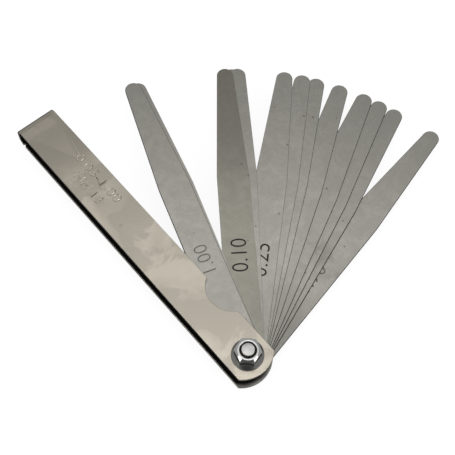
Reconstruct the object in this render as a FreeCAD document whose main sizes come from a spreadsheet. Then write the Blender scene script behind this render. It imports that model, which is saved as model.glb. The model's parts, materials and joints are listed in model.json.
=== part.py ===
import FreeCAD, Part
import math
import os

import Sketcher

# Feeler gauge: thirteen leaf blades pivot on one screw inside a folded steel holder.
# Millimetres. Z = 0 is the face of the screw head that the gauge rests on, the pivot
# axis is Z, and the holder runs along +Y. Blades are fanned clockwise, seen from above.

V = FreeCAD.Vector
NEAR = 0.05  # edges are picked by their place to within this
LEAST_CUT = 1e-3  # cubic millimetres that a cut has to remove
doc = FreeCAD.newDocument("feeler_gauge")

# ---------------------------------------------------------------- driving dimensions
DIMENSIONS = [
    # alias, value, what it is
    ("plate_thick", 0.9, "thickness of the holder's strip"),
    ("leaf_gap", 0.025, "free play between neighbours in the stack"),
    ("stack_room", 6.3, "clear height between the holder's two plates"),
    ("holder_width", 13.2, "width of the strip"),
    ("fold_reach", 103.6, "pivot to the outside of the fold"),
    ("fold_radius", 3.0, "outer bend radius of the fold"),
    ("end_reach", 6.65, "pivot to the rounded end of the plates"),
    ("end_radius", 9.3, "radius of that rounded end"),
    ("corner_radius", 0.5, "rounding where the end meets the long edges"),
    ("notch_radius", 7.75, "thumb notch radius"),
    ("notch_across", 10.3, "thumb notch centre, across the holder"),
    ("notch_along", 18.6, "thumb notch centre, along the holder"),
    ("notch_blend", 1.6, "rounding at the pivot side of the notch"),
    ("relief_along", 101.3, "relief nick centre, along the holder"),
    ("relief_size", 1.0, "relief nick length and depth"),
    ("bore_diameter", 4.1, "pivot hole in plates, blades and nut"),
    ("leaf_width", 10.1, "blade width at the pivot"),
    ("leaf_reach", 100.0, "pivot to blade tip"),
    ("leaf_shoulder", 58.9, "pivot to the start of the taper"),
    ("leaf_tip_radius", 2.7, "rounding of the blade tip"),
    ("shank_diameter", 4.0, "screw shank"),
    ("head_diameter", 8.0, "screw head"),
    ("head_height", 1.2, "screw head"),
    ("head_round", 0.5, "rounding of the head's lower rim"),
    ("screw_stickout", 4.9, "screw end above the holder"),
    ("screw_end_diameter", 3.3, "small end of the screw's lead-in cone"),
    ("screw_lead", 0.45, "height of that cone"),
    ("flange_diameter", 9.4, "nut flange"),
    ("flange_rim", 0.45, "height of the flange's straight rim"),
    ("flange_height", 1.35, "height where the flange cone meets the hexagon"),
    ("nut_height", 4.3, "nut, flange included"),
    ("nut_flats", 7.0, "nut width across flats"),
    ("nut_face_diameter", 6.0, "flat ring on top of the nut"),
    ("nut_entry_diameter", 5.0, "countersink at the top of the nut"),
    ("nut_turn", 15.0, "turn of the hexagon about the pivot, degrees"),
    ("end_stock", 3.0, "strip beyond the rounded end, before it is cut"),
    ("cut_margin", 1.0, "how far a cutting outline reaches past the material"),
]

# Blades from the bottom of the stack upwards: thickness and turn from the holder.
LEAVES = [
    ("0_90", 0.90, 79.2),
    ("0_80", 0.80, 71.0),
    ("0_70", 0.70, 67.7),
    ("0_60", 0.60, 64.5),
    ("0_50", 0.50, 59.5),
    ("0_40", 0.40, 54.8),
    ("0_30", 0.30, 52.0),
    ("0_25", 0.25, 48.5),
    ("0_20", 0.20, 38.2),
    ("0_15", 0.15, 39.3),
    ("0_10", 0.10, 36.9),
    ("0_05", 0.05, 19.7),
    ("1_00", 1.00, 18.8),
]

sheet = doc.addObject("Spreadsheet::Sheet", "dims")
size = {}


def add_dimension(alias, value, meaning):
    """Write one row of the sheet and remember its value."""
    row = len(size) + 1
    sheet.set("A%d" % row, meaning)
    sheet.set("B%d" % row, repr(float(value)))
    sheet.setAlias("B%d" % row, alias)
    size[alias] = float(value)


for alias, value, meaning in DIMENSIONS:
    add_dimension(alias, value, meaning)
for name, thick, turn in LEAVES:
    add_dimension("leaf_thick_" + name, thick, "blade " + name + " thickness")
    add_dimension("leaf_turn_" + name, turn, "blade " + name + " turn from the holder, degrees")
doc.recompute()


# ---------------------------------------------------------------- helpers
def new_body(label):
    """A PartDesign body whose label names its file."""
    body = doc.addObject("PartDesign::Body", label)
    body.Label = label
    return body


def new_sketch(body, name, plane_role):
    """A sketch on one of the body's own origin planes."""
    sketch = body.newObject("Sketcher::SketchObject", name)
    plane = [f for f in body.Origin.OriginFeatures if f.Role == plane_role][0]
    sketch.AttachmentSupport = [(plane, "")]
    sketch.MapMode = "FlatFace"
    return sketch


def line(sketch, x1, y1, x2, y2):
    return sketch.addGeometry(Part.LineSegment(V(x1, y1, 0), V(x2, y2, 0)), False)


def circle(sketch, x, y, radius):
    return sketch.addGeometry(Part.Circle(V(x, y, 0), V(0, 0, 1), radius), False)


def arc(sketch, x, y, radius, start_deg, end_deg):
    ring = Part.Circle(V(x, y, 0), V(0, 0, 1), radius)
    return sketch.addGeometry(
        Part.ArcOfCircle(ring, math.radians(start_deg), math.radians(end_deg)), False
    )


def join(sketch, kind, geo_a, end_a, geo_b, end_b):
    """Coincident or tangent ends: 1 is a start point, 2 an end point, 3 a centre."""
    sketch.addConstraint(Sketcher.Constraint(kind, geo_a, end_a, geo_b, end_b))


def hold(sketch, kind, *args):
    """A geometric constraint without a value."""
    return sketch.addConstraint(Sketcher.Constraint(kind, *args))


def drive(sketch, kind, args, value, formula):
    """A dimension bound to the sheet."""
    index = sketch.addConstraint(Sketcher.Constraint(kind, *args, value))
    sketch.setExpression("Constraints[%d]" % index, formula)
    return index


def drive_x(sketch, geo, end, value, formula):
    """Horizontal distance of a point from the sketch origin. Left of it counts as positive."""
    pair = (-1, 1, geo, end) if value >= 0 else (geo, end, -1, 1)
    drive(sketch, "DistanceX", pair, abs(value), formula)


def drive_y(sketch, geo, end, value, formula):
    """Vertical distance of a point from the sketch origin. Below it counts as positive."""
    pair = (-1, 1, geo, end) if value >= 0 else (geo, end, -1, 1)
    drive(sketch, "DistanceY", pair, abs(value), formula)


def closed_loop(sketch, points):
    """Straight lines through the points and back to the first; returns their indices."""
    edges = []
    for i, (x, y) in enumerate(points):
        x2, y2 = points[(i + 1) % len(points)]
        edges.append(line(sketch, x, y, x2, y2))
    for i, edge in enumerate(edges):
        join(sketch, "Coincident", edge, 2, edges[(i + 1) % len(edges)], 1)
    return edges


def drive_corners(sketch, edges, points, formulas):
    """Pin the start point of every edge of a loop with two bound distances."""
    for edge, (x, y), (formula_x, formula_y) in zip(edges, points, formulas):
        if formula_x is None:
            hold(sketch, "PointOnObject", edge, 1, -2)
        else:
            drive_x(sketch, edge, 1, x, formula_x)
        if formula_y is None:
            hold(sketch, "PointOnObject", edge, 1, -1)
        else:
            drive_y(sketch, edge, 1, y, formula_y)


def cut_through(body, name, sketch):
    """Pocket right through the body on both sides of the sketch, and check that it cuts."""
    doc.recompute()
    before = body.Shape.Volume
    pocket = body.newObject("PartDesign::Pocket", name)
    pocket.Profile = sketch
    pocket.Type = "ThroughAll"
    pocket.Midplane = True
    doc.recompute()
    if body.Shape.Volume > before - LEAST_CUT:
        raise RuntimeError(name + " removed nothing")
    return pocket


def edges_where(shape, test):
    """Names of the edges of a shape whose middle passes the test."""
    names = []
    for number, edge in enumerate(shape.Edges, start=1):
        middle = edge.valueAt((edge.FirstParameter + edge.LastParameter) / 2)
        if test(edge, middle):
            names.append("Edge%d" % number)
    return names


def is_upright(edge):
    """True for a straight edge parallel to Z."""
    if edge.Curve.TypeId != "Part::GeomLine":
        return False
    return abs(abs(edge.tangentAt(edge.FirstParameter).z) - 1) < 1e-6


def round_edges(body, name, edge_names, formula):
    """Fillet some edges of the body's tip with a radius from the sheet."""
    tip = body.Tip
    fillet = body.newObject("PartDesign::Fillet", name)
    fillet.Base = (tip, edge_names)
    fillet.setExpression("Radius", formula)
    doc.recompute()
    return fillet


# ---------------------------------------------------------------- holder
HOLDER_HEIGHT = "(dims.stack_room + 2 * dims.plate_thick)"


def build_holder():
    """One strip folded back on itself: two plates, open along both long edges."""
    body = new_body("holder")
    thick = size["plate_thick"]
    high = size["stack_room"] + 2 * thick
    reach = size["fold_reach"]
    bend = size["fold_radius"]
    inner = bend - thick
    start = -size["end_reach"] - size["end_stock"]

    # Section of the strip, seen from the side: sketch X runs along the holder, Y is up.
    sketch = new_sketch(body, "strip_section", "YZ_Plane")
    outer_low = line(sketch, start, 0, reach - bend, 0)
    outer_bend_low = arc(sketch, reach - bend, bend, bend, -90, 0)
    outer_wall = line(sketch, reach, bend, reach, high - bend)
    outer_bend_high = arc(sketch, reach - bend, high - bend, bend, 0, 90)
    outer_high = line(sketch, reach - bend, high, start, high)
    end_high = line(sketch, start, high, start, high - thick)
    inner_high = line(sketch, start, high - thick, reach - bend, high - thick)
    inner_bend_high = arc(sketch, reach - bend, high - bend, inner, 0, 90)
    inner_wall = line(sketch, reach - thick, high - bend, reach - thick, bend)
    inner_bend_low = arc(sketch, reach - bend, bend, inner, -90, 0)
    inner_low = line(sketch, reach - bend, thick, start, thick)
    end_low = line(sketch, start, thick, start, 0)
    join(sketch, "Tangent", outer_low, 2, outer_bend_low, 1)
    join(sketch, "Tangent", outer_bend_low, 2, outer_wall, 1)
    join(sketch, "Tangent", outer_wall, 2, outer_bend_high, 1)
    join(sketch, "Tangent", outer_bend_high, 2, outer_high, 1)
    join(sketch, "Coincident", outer_high, 2, end_high, 1)
    join(sketch, "Coincident", end_high, 2, inner_high, 1)
    join(sketch, "Tangent", inner_high, 2, inner_bend_high, 2)
    join(sketch, "Tangent", inner_bend_high, 1, inner_wall, 1)
    join(sketch, "Tangent", inner_wall, 2, inner_bend_low, 2)
    join(sketch, "Tangent", inner_bend_low, 1, inner_low, 1)
    join(sketch, "Coincident", inner_low, 2, end_low, 1)
    join(sketch, "Coincident", end_low, 2, outer_low, 1)
    join(sketch, "Coincident", outer_bend_low, 3, inner_bend_low, 3)
    join(sketch, "Coincident", outer_bend_high, 3, inner_bend_high, 3)
    for level in (outer_low, outer_high, inner_high, inner_low):
        hold(sketch, "Horizontal", level)
    for wall in (outer_wall, inner_wall, end_high, end_low):
        hold(sketch, "Vertical", wall)
    hold(sketch, "PointOnObject", outer_low, 1, -1)
    hold(sketch, "Equal", outer_bend_low, outer_bend_high)
    drive_x(sketch, outer_low, 1, start, "dims.end_reach + dims.end_stock")
    drive_x(sketch, outer_high, 2, start, "dims.end_reach + dims.end_stock")
    drive_x(sketch, outer_wall, 1, reach, "dims.fold_reach")
    drive_y(sketch, outer_high, 2, high, HOLDER_HEIGHT)
    drive(sketch, "Radius", (outer_bend_low,), bend, "dims.fold_radius")
    drive(sketch, "Radius", (inner_bend_low,), inner, "dims.fold_radius - dims.plate_thick")

    strip = body.newObject("PartDesign::Pad", "folded_strip")
    strip.Profile = sketch
    strip.Midplane = True
    strip.setExpression("Length", "dims.holder_width")
    doc.recompute()

    # The plates end in an arc beyond the pivot.
    sketch = new_sketch(body, "end_outline", "XY_Plane")
    radius = size["end_radius"]
    centre = radius - size["end_reach"]
    half = size["holder_width"] / 2 + size["cut_margin"]
    sweep = math.degrees(math.asin(half / radius))
    rise = centre - radius * math.cos(math.radians(sweep))
    low = start - size["cut_margin"]
    end_arc = arc(sketch, 0, centre, radius, 270 - sweep, 270 + sweep)
    right = line(sketch, half, rise, half, low)
    floor = line(sketch, half, low, -half, low)
    left = line(sketch, -half, low, -half, rise)
    join(sketch, "Coincident", end_arc, 2, right, 1)
    join(sketch, "Coincident", right, 2, floor, 1)
    join(sketch, "Coincident", floor, 2, left, 1)
    join(sketch, "Coincident", left, 2, end_arc, 1)
    hold(sketch, "Vertical", right)
    hold(sketch, "Vertical", left)
    hold(sketch, "Horizontal", floor)
    hold(sketch, "PointOnObject", end_arc, 3, -2)
    drive(sketch, "Radius", (end_arc,), radius, "dims.end_radius")
    drive_y(sketch, end_arc, 3, centre, "dims.end_radius - dims.end_reach")
    drive_x(sketch, right, 2, half, "dims.holder_width / 2 + dims.cut_margin")
    drive_x(sketch, left, 1, -half, "dims.holder_width / 2 + dims.cut_margin")
    drive_y(sketch, right, 2, low, "dims.end_reach + dims.end_stock + dims.cut_margin")
    cut_through(body, "end_cut", sketch)

    # Thumb notch in the edge on the side the blades fan out of, through both plates.
    sketch = new_sketch(body, "notch_outline", "XY_Plane")
    notch = circle(sketch, size["notch_across"], size["notch_along"], size["notch_radius"])
    drive(sketch, "Radius", (notch,), size["notch_radius"], "dims.notch_radius")
    drive_x(sketch, notch, 3, size["notch_across"], "dims.notch_across")
    drive_y(sketch, notch, 3, size["notch_along"], "dims.notch_along")
    cut_through(body, "thumb_notch", sketch)

    sketch = new_sketch(body, "pivot_hole_outline", "XY_Plane")
    hole = circle(sketch, 0, 0, size["bore_diameter"] / 2)
    join(sketch, "Coincident", hole, 3, -1, 1)
    drive(sketch, "Diameter", (hole,), size["bore_diameter"], "dims.bore_diameter")
    cut_through(body, "pivot_hole", sketch)

    # A small relief nick in the bottom plate's left edge, where the fold starts.
    sketch = new_sketch(body, "relief_outline", "XY_Plane")
    nick = size["relief_size"]
    edge_x = -size["holder_width"] / 2
    along = size["relief_along"]
    relief = circle(sketch, edge_x, along, nick / 2)
    drive(sketch, "Diameter", (relief,), nick, "dims.relief_size")
    drive_x(sketch, relief, 3, edge_x, "dims.holder_width / 2")
    drive_y(sketch, relief, 3, along, "dims.relief_along")
    doc.recompute()
    before = body.Shape.Volume
    pocket = body.newObject("PartDesign::Pocket", "relief_nick")
    pocket.Profile = sketch
    pocket.Midplane = True
    pocket.setExpression("Length", "2 * dims.fold_radius")
    doc.recompute()
    if body.Shape.Volume > before - LEAST_CUT:
        raise RuntimeError("relief_nick removed nothing")

    # Corner roundings on both plates.
    width = size["holder_width"]
    chord = math.sqrt(size["notch_radius"] ** 2 - (size["notch_across"] - width / 2) ** 2)
    notch_low = size["notch_along"] - chord

    def at_notch(edge, p):
        return is_upright(edge) and abs(p.y - notch_low) < NEAR and p.x > width / 2 - NEAR

    def at_end(edge, p):
        return is_upright(edge) and p.y < 0 and abs(p.x) > width / 2 - NEAR

    blends = edges_where(body.Shape, at_notch)
    round_edges(body, "notch_blends", blends, "dims.notch_blend")
    corners = edges_where(body.Shape, at_end)
    round_edges(body, "end_corners", corners, "dims.corner_radius")

    body.Placement = FreeCAD.Placement(V(0, 0, 0), FreeCAD.Rotation())
    body.setExpression(".Placement.Base.z", "dims.head_height")
    return body


# ---------------------------------------------------------------- blades
def build_leaf(name, turn, level):
    """A blade: straight sides, a taper to a rounded tip, a round root and the pivot hole."""
    body = new_body("blade_" + name)
    half = size["leaf_width"] / 2
    shoulder = size["leaf_shoulder"]
    tip = size["leaf_tip_radius"]
    centre = size["leaf_reach"] - tip
    rise = centre - shoulder
    slope = math.atan2(rise, half) + math.asin(tip / math.hypot(rise, half))
    lean = math.degrees(slope) - 90.0
    touch_x = tip * math.cos(math.radians(lean))
    touch_y = centre - tip * math.sin(math.radians(lean))

    sketch = new_sketch(body, "outline_" + name, "XY_Plane")
    root = arc(sketch, 0, 0, half, 180, 360)
    right_side = line(sketch, half, 0, half, shoulder)
    right_taper = line(sketch, half, shoulder, touch_x, touch_y)
    tip_arc = arc(sketch, 0, centre, tip, -lean, 180 + lean)
    left_taper = line(sketch, -touch_x, touch_y, -half, shoulder)
    left_side = line(sketch, -half, shoulder, -half, 0)
    hole = circle(sketch, 0, 0, size["bore_diameter"] / 2)
    join(sketch, "Tangent", root, 2, right_side, 1)
    join(sketch, "Coincident", right_side, 2, right_taper, 1)
    join(sketch, "Tangent", right_taper, 2, tip_arc, 1)
    join(sketch, "Tangent", tip_arc, 2, left_taper, 1)
    join(sketch, "Coincident", left_taper, 2, left_side, 1)
    join(sketch, "Tangent", left_side, 2, root, 1)
    join(sketch, "Coincident", root, 3, -1, 1)
    join(sketch, "Coincident", hole, 3, -1, 1)
    hold(sketch, "PointOnObject", tip_arc, 3, -2)
    hold(sketch, "Vertical", right_side)
    hold(sketch, "Vertical", left_side)
    drive(sketch, "Radius", (root,), half, "dims.leaf_width / 2")
    drive(sketch, "Radius", (tip_arc,), tip, "dims.leaf_tip_radius")
    drive(sketch, "Diameter", (hole,), size["bore_diameter"], "dims.bore_diameter")
    drive_y(sketch, right_side, 2, shoulder, "dims.leaf_shoulder")
    drive_y(sketch, left_side, 1, shoulder, "dims.leaf_shoulder")
    drive_y(sketch, tip_arc, 3, centre, "dims.leaf_reach - dims.leaf_tip_radius")

    pad = body.newObject("PartDesign::Pad", "leaf_" + name)
    pad.Profile = sketch
    pad.setExpression("Length", "dims.leaf_thick_" + name)
    doc.recompute()

    body.Placement = FreeCAD.Placement(V(0, 0, 0), FreeCAD.Rotation(V(0, 0, -1), turn))
    body.setExpression(".Placement.Rotation.Angle", "dims.leaf_turn_" + name)
    body.setExpression(".Placement.Base.z", level)
    doc.recompute()
    return body


# ---------------------------------------------------------------- screw and nut
def revolve(body, name, sketch):
    """Turn a sketch on the XZ plane once round the pivot axis."""
    feature = body.newObject("PartDesign::Revolution", name)
    feature.Profile = sketch
    feature.ReferenceAxis = (sketch, ["V_Axis"])
    feature.Angle = 360
    doc.recompute()
    return feature


def build_screw():
    """Pivot screw: a low round head under the holder, a plain shank and a lead-in cone."""
    body = new_body("pivot_screw")
    head = size["head_diameter"] / 2
    height = size["head_height"]
    shank = size["shank_diameter"] / 2
    tip = size["screw_end_diameter"] / 2
    top = height + size["stack_room"] + 2 * size["plate_thick"] + size["screw_stickout"]
    lead = size["screw_lead"]
    top_formula = "dims.head_height + " + HOLDER_HEIGHT + " + dims.screw_stickout"
    points = [
        (0, 0),
        (head, 0),
        (head, height),
        (shank, height),
        (shank, top - lead),
        (tip, top),
        (0, top),
    ]
    formulas = [
        (None, None),
        ("dims.head_diameter / 2", None),
        ("dims.head_diameter / 2", "dims.head_height"),
        ("dims.shank_diameter / 2", "dims.head_height"),
        ("dims.shank_diameter / 2", top_formula + " - dims.screw_lead"),
        ("dims.screw_end_diameter / 2", top_formula),
        (None, top_formula),
    ]
    sketch = new_sketch(body, "screw_half_section", "XZ_Plane")
    edges = closed_loop(sketch, points)
    drive_corners(sketch, edges, points, formulas)
    revolve(body, "turned_screw", sketch)

    def at_lower_rim(edge, p):
        return edge.Curve.TypeId == "Part::GeomCircle" and p.z < NEAR and math.hypot(p.x, p.y) > shank

    rim = edges_where(body.Shape, at_lower_rim)
    round_edges(body, "head_rim", rim, "dims.head_round")
    return body


def build_nut():
    """Hexagon nut with a conical flange, chamfered corners and a countersunk bore."""
    body = new_body("flange_nut")
    flange = size["flange_diameter"] / 2
    rim = size["flange_rim"]
    cone = size["flange_height"]
    height = size["nut_height"]
    flats = size["nut_flats"] / 2
    face = size["nut_face_diameter"] / 2
    entry = size["nut_entry_diameter"] / 2
    bore = size["bore_diameter"] / 2
    margin = size["cut_margin"]

    # Flange, up to the middle of the hexagon's flats.
    points = [(0, 0), (flange, 0), (flange, rim), (flats, cone), (0, cone)]
    formulas = [
        (None, None),
        ("dims.flange_diameter / 2", None),
        ("dims.flange_diameter / 2", "dims.flange_rim"),
        ("dims.nut_flats / 2", "dims.flange_height"),
        (None, "dims.flange_height"),
    ]
    sketch = new_sketch(body, "flange_half_section", "XZ_Plane")
    drive_corners(sketch, closed_loop(sketch, points), points, formulas)
    revolve(body, "flange", sketch)

    # Hexagon through the flange to the top.
    sketch = new_sketch(body, "hexagon", "XY_Plane")
    corner = flats / math.cos(math.radians(30))
    ring = [
        (corner * math.cos(math.radians(60 * i)), corner * math.sin(math.radians(60 * i)))
        for i in range(6)
    ]
    sides = closed_loop(sketch, ring)
    guide = circle(sketch, 0, 0, corner)
    sketch.toggleConstruction(guide)
    join(sketch, "Coincident", guide, 3, -1, 1)
    for side in sides:
        hold(sketch, "PointOnObject", side, 1, guide)
    for side in sides[1:]:
        hold(sketch, "Equal", sides[0], side)
    hold(sketch, "PointOnObject", sides[0], 1, -1)
    drive(sketch, "Radius", (guide,), corner, "dims.nut_flats / 2 / cos(30 deg)")
    pad = body.newObject("PartDesign::Pad", "hexagon_pad")
    pad.Profile = sketch
    pad.setExpression("Length", "dims.nut_height")
    doc.recompute()

    # Thirty-degree chamfer that leaves the flat ring on top.
    blank_volume = body.Shape.Volume
    outside = corner + margin
    drop = (outside - face) * math.tan(math.radians(30))
    points = [
        (face, height),
        (outside, height - drop),
        (outside, height + margin),
        (face, height + margin),
    ]
    outside_formula = "dims.nut_flats / 2 / cos(30 deg) + dims.cut_margin"
    drop_formula = "(" + outside_formula + " - dims.nut_face_diameter / 2) * tan(30 deg)"
    formulas = [
        ("dims.nut_face_diameter / 2", "dims.nut_height"),
        (outside_formula, "dims.nut_height - " + drop_formula),
        (outside_formula, "dims.nut_height + dims.cut_margin"),
        ("dims.nut_face_diameter / 2", "dims.nut_height + dims.cut_margin"),
    ]
    sketch = new_sketch(body, "chamfer_section", "XZ_Plane")
    drive_corners(sketch, closed_loop(sketch, points), points, formulas)
    groove = body.newObject("PartDesign::Groove", "corner_chamfer")
    groove.Profile = sketch
    groove.ReferenceAxis = (sketch, ["V_Axis"])
    groove.Angle = 360
    doc.recompute()

    # Bore with a countersink at the top.
    sink = entry - bore
    points = [
        (0, -margin),
        (bore, -margin),
        (bore, height - sink),
        (entry, height),
        (entry, height + margin),
        (0, height + margin),
    ]
    sink_formula = "(dims.nut_entry_diameter - dims.bore_diameter) / 2"
    formulas = [
        (None, "dims.cut_margin"),
        ("dims.bore_diameter / 2", "dims.cut_margin"),
        ("dims.bore_diameter / 2", "dims.nut_height - " + sink_formula),
        ("dims.nut_entry_diameter / 2", "dims.nut_height"),
        ("dims.nut_entry_diameter / 2", "dims.nut_height + dims.cut_margin"),
        (None, "dims.nut_height + dims.cut_margin"),
    ]
    sketch = new_sketch(body, "bore_section", "XZ_Plane")
    drive_corners(sketch, closed_loop(sketch, points), points, formulas)
    groove = body.newObject("PartDesign::Groove", "bore")
    groove.Profile = sketch
    groove.ReferenceAxis = (sketch, ["V_Axis"])
    groove.Angle = 360
    doc.recompute()
    if body.Shape.Volume > blank_volume - math.pi * bore**2 * height:
        raise RuntimeError("the nut's bore or chamfer removed nothing")

    body.Placement = FreeCAD.Placement(V(0, 0, 0), FreeCAD.Rotation(V(0, 0, 1), size["nut_turn"]))
    body.setExpression(".Placement.Rotation.Angle", "dims.nut_turn")
    body.setExpression(".Placement.Base.z", "dims.head_height + " + HOLDER_HEIGHT)
    doc.recompute()
    return body


# ---------------------------------------------------------------- build, check, write
parts = [build_holder()]
level = "dims.head_height + dims.plate_thick + dims.leaf_gap"
for name, thick, turn in LEAVES:
    parts.append(build_leaf(name, turn, level))
    level += " + dims.leaf_thick_%s + dims.leaf_gap" % name
parts.append(build_screw())
parts.append(build_nut())
doc.recompute()

for obj in doc.Objects:
    if "Invalid" in obj.State or "Error" in obj.State:
        raise RuntimeError("failed object: %s %s" % (obj.Name, obj.State))
    if obj.TypeId == "Sketcher::SketchObject" and obj.solve() != 0:
        raise RuntimeError("sketch does not solve: " + obj.Name)

stack = sum(thick for name, thick, turn in LEAVES) + (len(LEAVES) + 1) * size["leaf_gap"]
if abs(stack - size["stack_room"]) > 1e-6:
    raise RuntimeError("blades and play add up to %.4f mm" % stack)

os.makedirs("parts", exist_ok=True)
for body in parts:
    shape = body.Shape
    if shape.isNull() or not shape.isValid() or len(shape.Solids) != 1:
        raise RuntimeError("bad shape: " + body.Label)
    shape.exportStep(os.path.join("parts", body.Label + ".step"))
    box = shape.BoundBox
    print(
        "%-12s %9.2f mm3   x %.2f..%.2f  y %.2f..%.2f  z %.3f..%.3f"
        % (body.Label, shape.Volume, box.XMin, box.XMax, box.YMin, box.YMax, box.ZMin, box.ZMax)
    )
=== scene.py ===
import contextlib
import json
import math

import bmesh
import bpy
from bpy.props import FloatProperty, FloatVectorProperty, IntProperty, PointerProperty, StringProperty
from mathutils import Matrix, Vector


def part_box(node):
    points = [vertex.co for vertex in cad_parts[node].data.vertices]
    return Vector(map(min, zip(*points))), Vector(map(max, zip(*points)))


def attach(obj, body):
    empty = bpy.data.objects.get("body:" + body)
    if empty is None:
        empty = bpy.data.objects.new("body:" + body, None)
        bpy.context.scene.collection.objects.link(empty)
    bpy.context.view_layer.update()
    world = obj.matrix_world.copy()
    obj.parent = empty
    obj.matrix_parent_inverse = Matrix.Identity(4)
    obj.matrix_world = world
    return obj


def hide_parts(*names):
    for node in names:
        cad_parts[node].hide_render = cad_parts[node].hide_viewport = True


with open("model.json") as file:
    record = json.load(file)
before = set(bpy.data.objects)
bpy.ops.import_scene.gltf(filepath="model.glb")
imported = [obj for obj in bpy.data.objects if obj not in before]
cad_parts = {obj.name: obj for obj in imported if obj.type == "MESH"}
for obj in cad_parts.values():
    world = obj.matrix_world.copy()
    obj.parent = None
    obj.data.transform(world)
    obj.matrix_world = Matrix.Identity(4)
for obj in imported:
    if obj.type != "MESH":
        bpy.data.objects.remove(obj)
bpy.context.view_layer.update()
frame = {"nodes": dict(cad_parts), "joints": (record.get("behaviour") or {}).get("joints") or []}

# Feeler gauge: a folded nickel-plated holder, thirteen satin steel blades fanned out on one
# pivot, a pivot screw and a flange nut. Metres, pivot axis along Z, holder along +Y.

bl_info = {
    "name": "Feeler Gauge Builder",
    "version": (1, 0, 0),
    "blender": (4, 5, 0),
    "location": "3D View > Sidebar > Feeler Gauge",
    "description": "Models a fan of feeler blades in a folded holder around its fixed frame",
    "category": "Add Mesh",
}

MM = 0.001
MERGE_DISTANCE = 1e-7
SLIVER = 0.02 * MM  # edges shorter than this are left over from a boolean

# Edges that turn by more than this stay edges when the rest is shaded smoothly.
HOLDER_CREASE = math.radians(40)
PART_CREASE = math.radians(35)

HOLDER_BODY = "holder_body"
HOLDER_LOW, HOLDER_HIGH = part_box("holder")
NUT_LOW, NUT_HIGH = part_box("flange_nut")
SCREW_LOW, SCREW_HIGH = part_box("pivot_screw")

# Turn of each blade from the holder, clockwise, in radians: a blade swings in to zero at its limit.
BLADE_TURNS = {
    joint["child"].replace("leaf_", ""): math.radians(joint["range_deg"][1])
    for joint in frame["joints"]
}


# ------------------------------------------------------------------ modelling helpers
def deselect_all():
    """Leave nothing selected, in object mode."""
    if bpy.context.mode != "OBJECT":
        bpy.ops.object.mode_set(mode="OBJECT")
    bpy.ops.object.select_all(action="DESELECT")


def make_active(obj):
    """Select one object only and make it the active one."""
    deselect_all()
    obj.select_set(True)
    bpy.context.view_layer.objects.active = obj


@contextlib.contextmanager
def editing(obj, select_mode):
    """Edit one object's mesh with nothing selected at the start."""
    make_active(obj)
    bpy.ops.object.mode_set(mode="EDIT")
    bpy.ops.mesh.select_mode(type=select_mode)
    bpy.ops.mesh.select_all(action="DESELECT")
    yield
    bpy.ops.object.mode_set(mode="OBJECT")


def choose(obj, parts, passes):
    """In edit mode, select the faces or edges that pass, and stop if none does."""
    picked = 0
    for part in parts:
        chosen = bool(passes(part))
        part.select_set(chosen)
        picked += chosen
    bmesh.update_edit_mesh(obj.data)
    if not picked:
        raise RuntimeError("nothing of %s passes the test" % obj.name)


def pick_faces(obj, test):
    """In edit mode, select the faces whose centre and normal pass the test."""
    mesh = bmesh.from_edit_mesh(obj.data)
    mesh.normal_update()
    choose(obj, mesh.faces, lambda face: test(face.calc_center_median(), face.normal))


def pick_edges(obj, test):
    """In edit mode, select the edges whose middle passes the test."""
    mesh = bmesh.from_edit_mesh(obj.data)
    choose(obj, mesh.edges, lambda edge: test((edge.verts[0].co + edge.verts[1].co) / 2))


def faces_up(centre, normal):
    """The test for faces that lie level and look up."""
    return normal.z > 0.99


def take_primitive(name):
    """Name the primitive that was just added and put its place into its mesh."""
    obj = bpy.context.active_object
    obj.name = name
    obj.data.name = name
    bpy.ops.object.transform_apply(location=True, rotation=True, scale=True)
    return obj


def add_block(name, low, high):
    """A box between two corners."""
    deselect_all()
    low, high = Vector(low), Vector(high)
    bpy.ops.mesh.primitive_cube_add(size=1.0, location=(low + high) / 2, scale=high - low)
    return take_primitive(name)


def add_drum(name, radius, low_z, high_z, centre=(0.0, 0.0), sides=96, turn=0.0):
    """An upright cylinder between two heights."""
    deselect_all()
    bpy.ops.mesh.primitive_cylinder_add(
        vertices=sides,
        radius=radius,
        depth=high_z - low_z,
        location=(centre[0], centre[1], (low_z + high_z) / 2),
        rotation=(0.0, 0.0, turn),
    )
    return take_primitive(name)


def add_cone(name, low_radius, high_radius, low_z, high_z, sides):
    """An upright frustum about the pivot axis."""
    deselect_all()
    bpy.ops.mesh.primitive_cone_add(
        vertices=sides,
        radius1=low_radius,
        radius2=high_radius,
        depth=high_z - low_z,
        location=(0.0, 0.0, (low_z + high_z) / 2),
    )
    return take_primitive(name)


def apply_modifier(obj, kind, settings):
    """Add a modifier with its settings and apply it."""
    make_active(obj)
    modifier = obj.modifiers.new(kind.lower(), kind)
    for key, value in settings.items():
        setattr(modifier, key, value)
    bpy.ops.object.modifier_apply(modifier=modifier.name)


def carve(obj, tool, operation="DIFFERENCE"):
    """Combine a piece with a tool shape, which is used up."""
    apply_modifier(obj, "BOOLEAN", {"operation": operation, "object": tool, "solver": "EXACT"})
    bpy.data.objects.remove(tool)
    if not obj.data.polygons:
        raise RuntimeError("the boolean left nothing of " + obj.name)


def extrude_selection(offset):
    """In edit mode, extrude the selected faces by an offset."""
    bpy.ops.mesh.extrude_region_move(TRANSFORM_OT_translate={"value": tuple(offset)})


def clean_up(obj, threshold=MERGE_DISTANCE):
    """Merge points that are as good as doubled and point every face outwards."""
    make_active(obj)
    bpy.ops.object.mode_set(mode="EDIT")
    bpy.ops.mesh.select_all(action="SELECT")
    bpy.ops.mesh.remove_doubles(threshold=threshold)
    bpy.ops.mesh.normals_make_consistent(inside=False)
    bpy.ops.object.mode_set(mode="OBJECT")


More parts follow.
